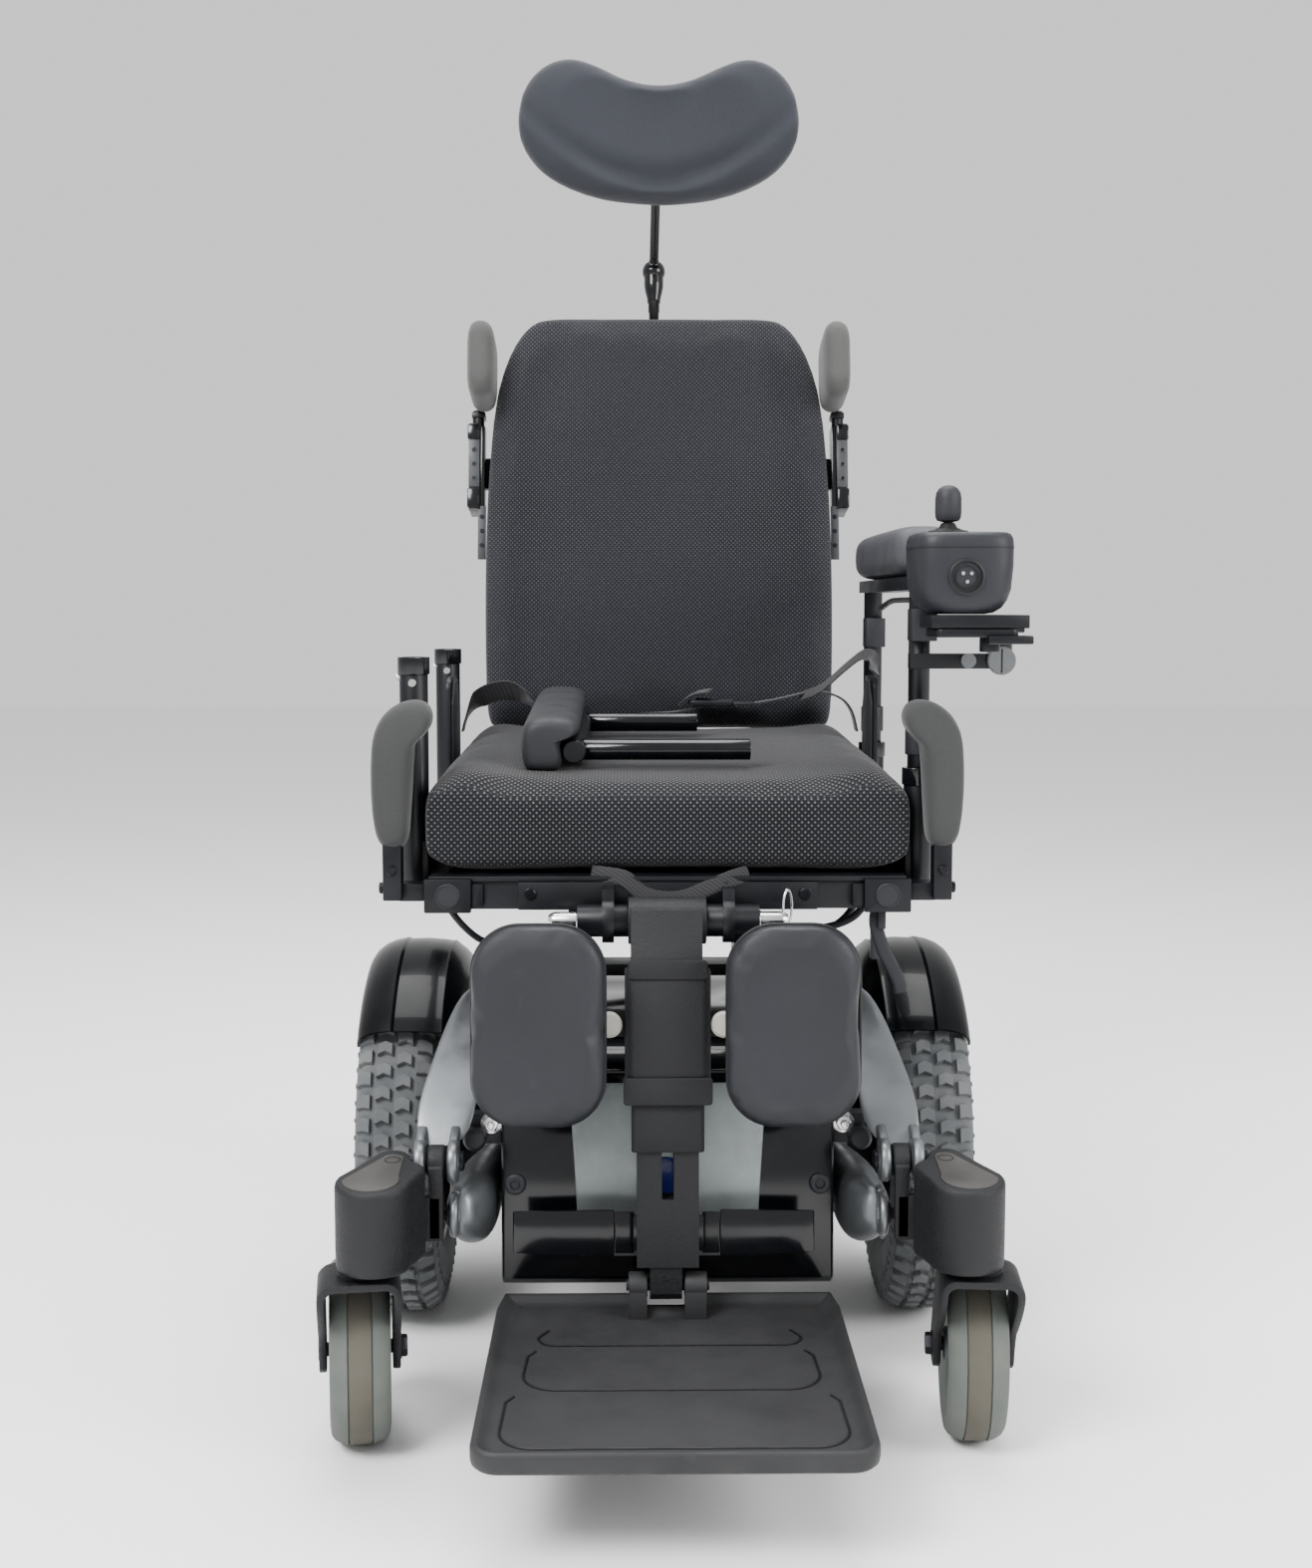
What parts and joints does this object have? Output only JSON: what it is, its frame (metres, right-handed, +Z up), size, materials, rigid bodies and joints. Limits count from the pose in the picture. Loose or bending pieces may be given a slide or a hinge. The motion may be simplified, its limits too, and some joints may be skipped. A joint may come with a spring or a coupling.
{
  "type": "power wheelchair",
  "caption": "Mid-wheel-drive power wheelchair with tilting seat, reclining back, headrest, joystick armrest, swivelling casters and a centre-mounted footrest.",
  "frame": {"origin": "on the floor, under the middle of the chair's length and on its centre line; the six wheels stand on Z = 0", "axes": "+Z up, -Y the way the user faces, +X to the user's left"},
  "size_m": [0.5993, 1.0557, 1.286],
  "materials": {
    "black_paint": "semi-gloss",
    "gloss_black": "gloss",
    "cast_aluminium": "satin, cast",
    "textured_black": "wrinkle texture",
    "silver_panel": "satin metallic",
    "tyre_rubber": "matte",
    "caster_tyre": "satin",
    "wheel_rim": "satin",
    "spacer_fabric": "woven, dotted",
    "pad_fabric": "stretch knit",
    "moulded_plastic": "fine grain",
    "webbing": "ribbed webbing"
  },
  "bodies": {
    "base": {"base_frame": "black_paint", "battery_pack": "moulded_plastic", "front_cover": "gloss_black", "front_panel": "silver_panel", "rear_cover": "gloss_black", "motor_right": "black_paint", "fender_right": "gloss_black", "motor_left": "black_paint", "fender_left": "gloss_black"},
    "drive_wheel_right": {"drive_tyre_right": "tyre_rubber", "drive_rim_right": "wheel_rim"},
    "upper_arm_right": {"upper_arm_right": "cast_aluminium"},
    "lower_arm_right": {"lower_arm_right": "cast_aluminium"},
    "caster_housing_right": {"caster_housing_right": "textured_black"},
    "front_fork_right": {"front_fork_right": "textured_black"},
    "front_caster_right": {"front_caster_right": "caster_tyre"},
    "rear_arm_right": {"rear_arm_right": "cast_aluminium"},
    "rear_fork_right": {"rear_fork_right": "textured_black"},
    "rear_caster_right": {"rear_caster_right": "caster_tyre"},
    "drive_wheel_left": {"drive_tyre_left": "tyre_rubber", "drive_rim_left": "wheel_rim"},
    "upper_arm_left": {"upper_arm_left": "cast_aluminium"},
    "lower_arm_left": {"lower_arm_left": "cast_aluminium"},
    "caster_housing_left": {"caster_housing_left": "textured_black"},
    "front_fork_left": {"front_fork_left": "textured_black"},
    "front_caster_left": {"front_caster_left": "caster_tyre"},
    "rear_arm_left": {"rear_arm_left": "cast_aluminium"},
    "rear_fork_left": {"rear_fork_left": "textured_black"},
    "rear_caster_left": {"rear_caster_left": "caster_tyre"},
    "seat": {"seat_frame": "black_paint", "seat_cushion": "spacer_fabric", "thigh_support_right": "pad_fabric", "thigh_support_left": "pad_fabric", "arm_receiver_right": "black_paint", "arm_receiver_left": "black_paint", "lap_belt": "webbing"},
    "back": {"back_frame": "black_paint", "back_shell": "moulded_plastic", "back_cushion": "spacer_fabric"},
    "lateral_right": {"lateral_support_right": "pad_fabric"},
    "lateral_left": {"lateral_support_left": "pad_fabric"},
    "headrest_post": {"headrest_post": "gloss_black"},
    "headrest_link": {"headrest_link": "gloss_black"},
    "headrest": {"headrest_pad": "pad_fabric"},
    "armrest": {"armrest_frame": "black_paint", "arm_pad": "moulded_plastic", "joystick_cable": "webbing"},
    "loose_armrest": {"loose_arm_tubes": "gloss_black", "loose_arm_pad": "moulded_plastic"},
    "joystick": {"joystick_arm": "black_paint", "joystick_housing": "moulded_plastic"},
    "gimbal": {"joystick_gimbal": "moulded_plastic"},
    "stick": {"joystick_stick": "moulded_plastic"},
    "power_button": {"power_button": "moulded_plastic"},
    "leg": {"leg_sleeve": "textured_black", "calf_pad_right": "pad_fabric", "calf_pad_left": "pad_fabric"},
    "leg_lower": {"leg_lower": "textured_black", "heel_guard": "gloss_black"},
    "footplate": {"footplate": "moulded_plastic"}
  },
  "joints": [
    {"name": "drive_right_spin", "type": "hinge", "parent": "base", "child": "drive_wheel_right", "pos_m": [-0.252, 0.061, 0.177], "axis": [1, 0, 0], "continuous": true},
    {"name": "front_suspension_right", "type": "hinge", "parent": "base", "child": "upper_arm_right", "pos_m": [-0.157, -0.089, 0.335], "axis": [-1, 0, 0], "range_deg": [0, 6], "stiffness_Nm_per_rad": 900, "springref_deg": -11.46},
    {"name": "lower_arm_right_pivot", "type": "hinge", "parent": "base", "child": "lower_arm_right", "pos_m": [-0.157, -0.104, 0.19], "axis": [-1, 0, 0], "range_deg": [0, 7]},
    {"name": "caster_housing_right_pivot", "type": "hinge", "parent": "upper_arm_right", "child": "caster_housing_right", "pos_m": [-0.194, -0.277, 0.24], "axis": [-1, 0, 0], "range_deg": [-7, 0]},
    {"name": "front_swivel_right", "type": "hinge", "parent": "caster_housing_right", "child": "front_fork_right", "pos_m": [-0.252, -0.337, 0.185], "axis": [0, 0, 1], "range_deg": [-38, 192]},
    {"name": "front_caster_right_spin", "type": "hinge", "parent": "front_fork_right", "child": "front_caster_right", "pos_m": [-0.26119, -0.27164, 0.078], "axis": [0.9903, 0.1392, 0], "continuous": true},
    {"name": "rear_suspension_right", "type": "hinge", "parent": "base", "child": "rear_arm_right", "pos_m": [-0.145, 0.181, 0.185], "axis": [1, 0, 0], "range_deg": [0, 6], "stiffness_Nm_per_rad": 900, "springref_deg": -11.46},
    {"name": "rear_swivel_right", "type": "hinge", "parent": "rear_arm_right", "child": "rear_fork_right", "pos_m": [-0.165, 0.401, 0.19], "axis": [0, 0, 1], "continuous": true},
    {"name": "rear_caster_right_spin", "type": "hinge", "parent": "rear_fork_right", "child": "rear_caster_right", "pos_m": [-0.165, 0.451, 0.078], "axis": [1, 0, 0], "continuous": true},
    {"name": "drive_left_spin", "type": "hinge", "parent": "base", "child": "drive_wheel_left", "pos_m": [0.252, 0.061, 0.177], "axis": [1, 0, 0], "continuous": true},
    {"name": "front_suspension_left", "type": "hinge", "parent": "base", "child": "upper_arm_left", "pos_m": [0.157, -0.089, 0.335], "axis": [-1, 0, 0], "range_deg": [0, 6], "stiffness_Nm_per_rad": 900, "springref_deg": -11.46},
    {"name": "lower_arm_left_pivot", "type": "hinge", "parent": "base", "child": "lower_arm_left", "pos_m": [0.157, -0.104, 0.19], "axis": [-1, 0, 0], "range_deg": [0, 7]},
    {"name": "caster_housing_left_pivot", "type": "hinge", "parent": "upper_arm_left", "child": "caster_housing_left", "pos_m": [0.194, -0.277, 0.24], "axis": [-1, 0, 0], "range_deg": [-7, 0]},
    {"name": "front_swivel_left", "type": "hinge", "parent": "caster_housing_left", "child": "front_fork_left", "pos_m": [0.252, -0.337, 0.185], "axis": [0, 0, 1], "range_deg": [-195, 35]},
    {"name": "front_caster_left_spin", "type": "hinge", "parent": "front_fork_left", "child": "front_caster_left", "pos_m": [0.25775, -0.27125, 0.078], "axis": [0.9962, -0.0872, 0], "continuous": true},
    {"name": "rear_suspension_left", "type": "hinge", "parent": "base", "child": "rear_arm_left", "pos_m": [0.145, 0.181, 0.185], "axis": [1, 0, 0], "range_deg": [0, 6], "stiffness_Nm_per_rad": 900, "springref_deg": -11.46},
    {"name": "rear_swivel_left", "type": "hinge", "parent": "rear_arm_left", "child": "rear_fork_left", "pos_m": [0.165, 0.401, 0.19], "axis": [0, 0, 1], "continuous": true},
    {"name": "rear_caster_left_spin", "type": "hinge", "parent": "rear_fork_left", "child": "rear_caster_left", "pos_m": [0.165, 0.451, 0.078], "axis": [1, 0, 0], "continuous": true},
    {"name": "seat_tilt", "type": "hinge", "parent": "base", "child": "seat", "pos_m": [0, 0.161, 0.415], "axis": [-1, 0, 0], "range_deg": [0, 45]},
    {"name": "back_recline", "type": "hinge", "parent": "seat", "child": "back", "pos_m": [0, 0.2864, 0.50425], "axis": [-1, 0, 0], "range_deg": [0, 70]},
    {"name": "lateral_right_swing", "type": "hinge", "parent": "back", "child": "lateral_right", "pos_m": [-0.2, 0.33707, 0.92736], "axis": [0, -0.1908, -0.9816], "range_deg": [0, 75]},
    {"name": "lateral_left_swing", "type": "hinge", "parent": "back", "child": "lateral_left", "pos_m": [0.2, 0.33707, 0.92736], "axis": [0, 0.1908, 0.9816], "range_deg": [0, 75]},
    {"name": "headrest_height", "type": "slide", "parent": "back", "child": "headrest_post", "axis": [0, 0.1908, 0.9816], "range_m": [0, 0.08]},
    {"name": "headrest_link_tilt", "type": "hinge", "parent": "headrest_post", "child": "headrest_link", "pos_m": [-0.004, 0.402, 1.0826], "axis": [-1, 0, 0], "range_deg": [-15, 20]},
    {"name": "headrest_pad_tilt", "type": "hinge", "parent": "headrest_link", "child": "headrest", "pos_m": [-0.002, 0.3384, 1.18], "axis": [-1, 0, 0], "range_deg": [-20, 20]},
    {"name": "armrest_height", "type": "slide", "parent": "seat", "child": "armrest", "axis": [0, 0, 1], "range_m": [0, 0.1]},
    {"name": "loose_armrest_lift", "type": "slide", "parent": "seat", "child": "loose_armrest", "axis": [0, 0, 1], "range_m": [0, 0.3]},
    {"name": "joystick_swing", "type": "hinge", "parent": "armrest", "child": "joystick", "pos_m": [0.291, -0.169, 0.675], "axis": [0, 0, 1], "range_deg": [0, 90]},
    {"name": "joystick_forward", "type": "hinge", "parent": "joystick", "child": "gimbal", "pos_m": [0.234, -0.234, 0.76], "axis": [1, 0, 0], "range_deg": [-18, 18], "stiffness_Nm_per_rad": 0.2},
    {"name": "joystick_sideways", "type": "hinge", "parent": "gimbal", "child": "stick", "pos_m": [0.234, -0.234, 0.76], "axis": [0, 1, 0], "range_deg": [-18, 18], "stiffness_Nm_per_rad": 0.2},
    {"name": "power_button_press", "type": "slide", "parent": "joystick", "child": "power_button", "axis": [0, 0, -1], "range_m": [0, 0.0012], "stiffness_N_per_m": 300, "springref_m": -0.001},
    {"name": "leg_elevation", "type": "hinge", "parent": "seat", "child": "leg", "pos_m": [0, -0.239, 0.437], "axis": [-1, 0, 0], "range_deg": [0, 75]},
    {"name": "leg_extension", "type": "slide", "parent": "leg", "child": "leg_lower", "axis": [0, -0.0698, -0.9976], "range_m": [0, 0.06]},
    {"name": "footplate_flip", "type": "hinge", "parent": "leg_lower", "child": "footplate", "pos_m": [0, -0.27239, 0.13159], "axis": [-1, 0, 0], "range_deg": [0, 55]}
  ],
  "couplings": [
    {"joint": "lower_arm_right_pivot", "follows": "front_suspension_right", "ratio": 1.11},
    {"joint": "caster_housing_right_pivot", "follows": "front_suspension_right", "ratio": -1},
    {"joint": "lower_arm_left_pivot", "follows": "front_suspension_left", "ratio": 1.11},
    {"joint": "caster_housing_left_pivot", "follows": "front_suspension_left", "ratio": -1},
    {"joint": "leg_extension", "follows": "leg_elevation", "m_per_rad": 0.0458}
  ]
}
